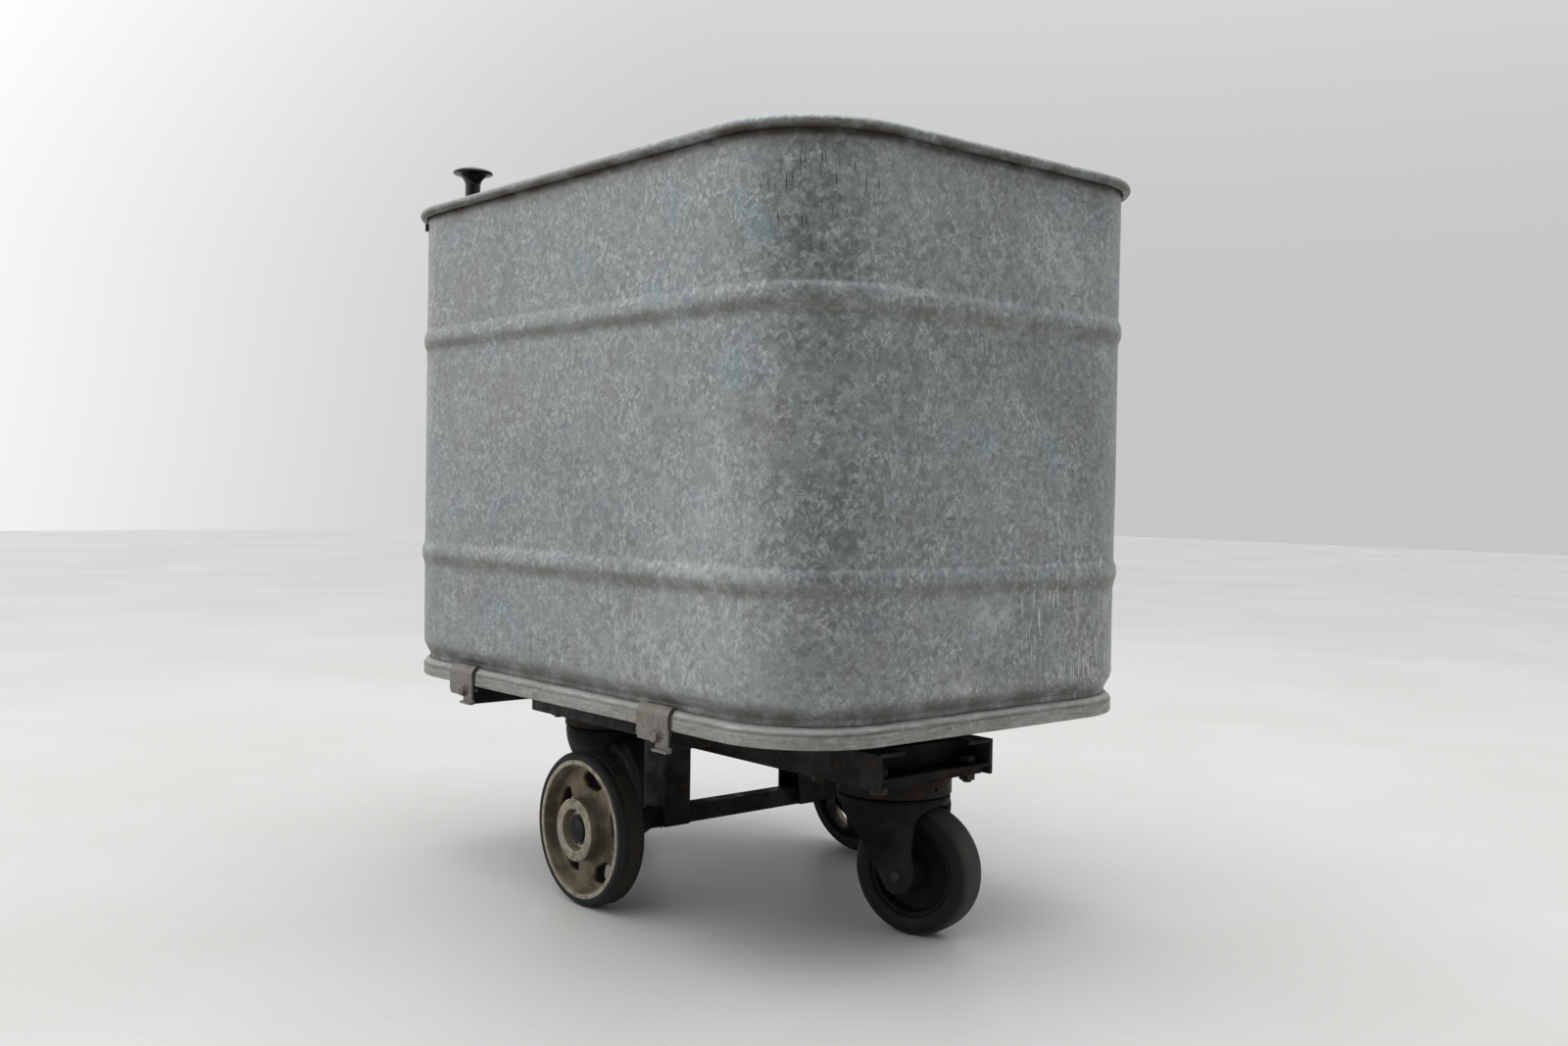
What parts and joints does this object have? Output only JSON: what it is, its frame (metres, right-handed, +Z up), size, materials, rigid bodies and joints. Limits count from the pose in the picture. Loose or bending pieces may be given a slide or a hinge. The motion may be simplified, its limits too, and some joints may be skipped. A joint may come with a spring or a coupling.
{
  "type": "galvanised tub trolley",
  "caption": "Deep rounded galvanised tub with beaded sides on a steel frame with two fixed wheels on a cross axle, two swivel casters and a drain lift rod.",
  "frame": {"origin": "on the floor under the middle of the tub", "axes": "+X along the tub, +Y to the left seen facing +X, +Z up"},
  "size_m": [0.943, 0.641, 1.014],
  "materials": {
    "galvanised_sheet": "weathered galvanised sheet with faint spangle, satin",
    "galvanised_clip": "dull grey pressed steel, matte",
    "black_steel": "old black paint with rust showing through, matte",
    "zinc_fastener": "dull zinc with rust stains",
    "bright_steel": "machined steel, oiled",
    "cast_wheel": "worn bare casting, brownish grey",
    "dark_casting": "black casting with dust",
    "band_rubber": "old grey-black solid rubber, matte",
    "caster_rubber": "black solid rubber with scuffed tread",
    "bronze": "dull bronze",
    "knob_black": "glossy black moulded knob",
    "drain_brass": "dull turned brass",
    "seal_rubber": "matte black rubber"
  },
  "bodies": {
    "chassis": {"tub_wall": "galvanised_sheet", "rim_wire": "bright_steel", "tub_floor": "galvanised_sheet", "chime_hoop": "galvanised_sheet", "drain_flange": "drain_brass", "drain_gasket": "seal_rubber", "drain_backnut": "drain_brass", "lift_bracket": "galvanised_clip", "bracket_bolt": "black_steel", "clip_bolts": "zinc_fastener", "clip_nuts": "zinc_fastener", "top_plate_bolts": "zinc_fastener", "top_plate_nuts": "zinc_fastener", "axle_beam": "black_steel", "axle_washers": "bright_steel", "axle_circlips": "bright_steel", "rail_right": "black_steel", "axle_leg_right": "black_steel", "rail_left": "black_steel", "axle_leg_left": "black_steel", "cross_member_rear": "black_steel", "clip_rear_right": "galvanised_clip", "clip_rear_left": "galvanised_clip", "rear_caster_bearers": "black_steel", "rear_top_plate": "black_steel", "cross_member_front": "black_steel", "clip_front_right": "galvanised_clip", "clip_front_left": "galvanised_clip", "front_caster_bearers": "black_steel", "front_top_plate": "black_steel"},
    "right_wheel": {"wheel_centre_right": "cast_wheel", "wheel_bush_right": "bronze", "wheel_tyre_right": "band_rubber"},
    "left_wheel": {"wheel_centre_left": "cast_wheel", "wheel_bush_left": "bronze", "wheel_tyre_left": "band_rubber"},
    "drain_lift": {"drain_plug": "seal_rubber", "lift_rod": "bright_steel", "stop_collar": "bright_steel", "lift_knob": "knob_black"},
    "front_swivel": {"front_fork": "black_steel", "front_kingpin": "bright_steel", "front_kingpin_nut": "zinc_fastener", "front_race_balls": "bright_steel", "front_caster_axle_bolt": "zinc_fastener", "front_caster_sleeve": "bright_steel", "front_thrust_washers": "bright_steel"},
    "front_caster_wheel": {"front_caster_core": "dark_casting", "front_caster_tyre": "caster_rubber"},
    "rear_swivel": {"rear_fork": "black_steel", "rear_kingpin": "bright_steel", "rear_kingpin_nut": "zinc_fastener", "rear_race_balls": "bright_steel", "rear_caster_axle_bolt": "zinc_fastener", "rear_caster_sleeve": "bright_steel", "rear_thrust_washers": "bright_steel"},
    "rear_caster_wheel": {"rear_caster_core": "dark_casting", "rear_caster_tyre": "caster_rubber"}
  },
  "joints": [
    {"name": "right_wheel_spin", "type": "hinge", "parent": "chassis", "child": "right_wheel", "pos_m": [-0.017, -0.245, 0.1], "axis": [0, 1, 0], "continuous": true},
    {"name": "left_wheel_spin", "type": "hinge", "parent": "chassis", "child": "left_wheel", "pos_m": [-0.017, 0.245, 0.1], "axis": [0, 1, 0], "continuous": true},
    {"name": "front_swivel_turn", "type": "hinge", "parent": "chassis", "child": "front_swivel", "pos_m": [0.298, 0, 0.18], "axis": [0, 0, 1], "continuous": true},
    {"name": "rear_swivel_turn", "type": "hinge", "parent": "chassis", "child": "rear_swivel", "pos_m": [-0.332, 0, 0.18], "axis": [0, 0, 1], "continuous": true},
    {"name": "front_caster_spin", "type": "hinge", "parent": "front_swivel", "child": "front_caster_wheel", "pos_m": [0.3339, 0.00895, 0.08], "axis": [-0.2419, 0.9703, 0], "continuous": true},
    {"name": "rear_caster_spin", "type": "hinge", "parent": "rear_swivel", "child": "rear_caster_wheel", "pos_m": [-0.29502, -0.00129, 0.08], "axis": [0.0349, 0.9994, 0], "continuous": true},
    {"name": "drain_lift_slide", "type": "slide", "parent": "chassis", "child": "drain_lift", "axis": [0, 0, 1], "range_m": [0, 0.06]}
  ]
}
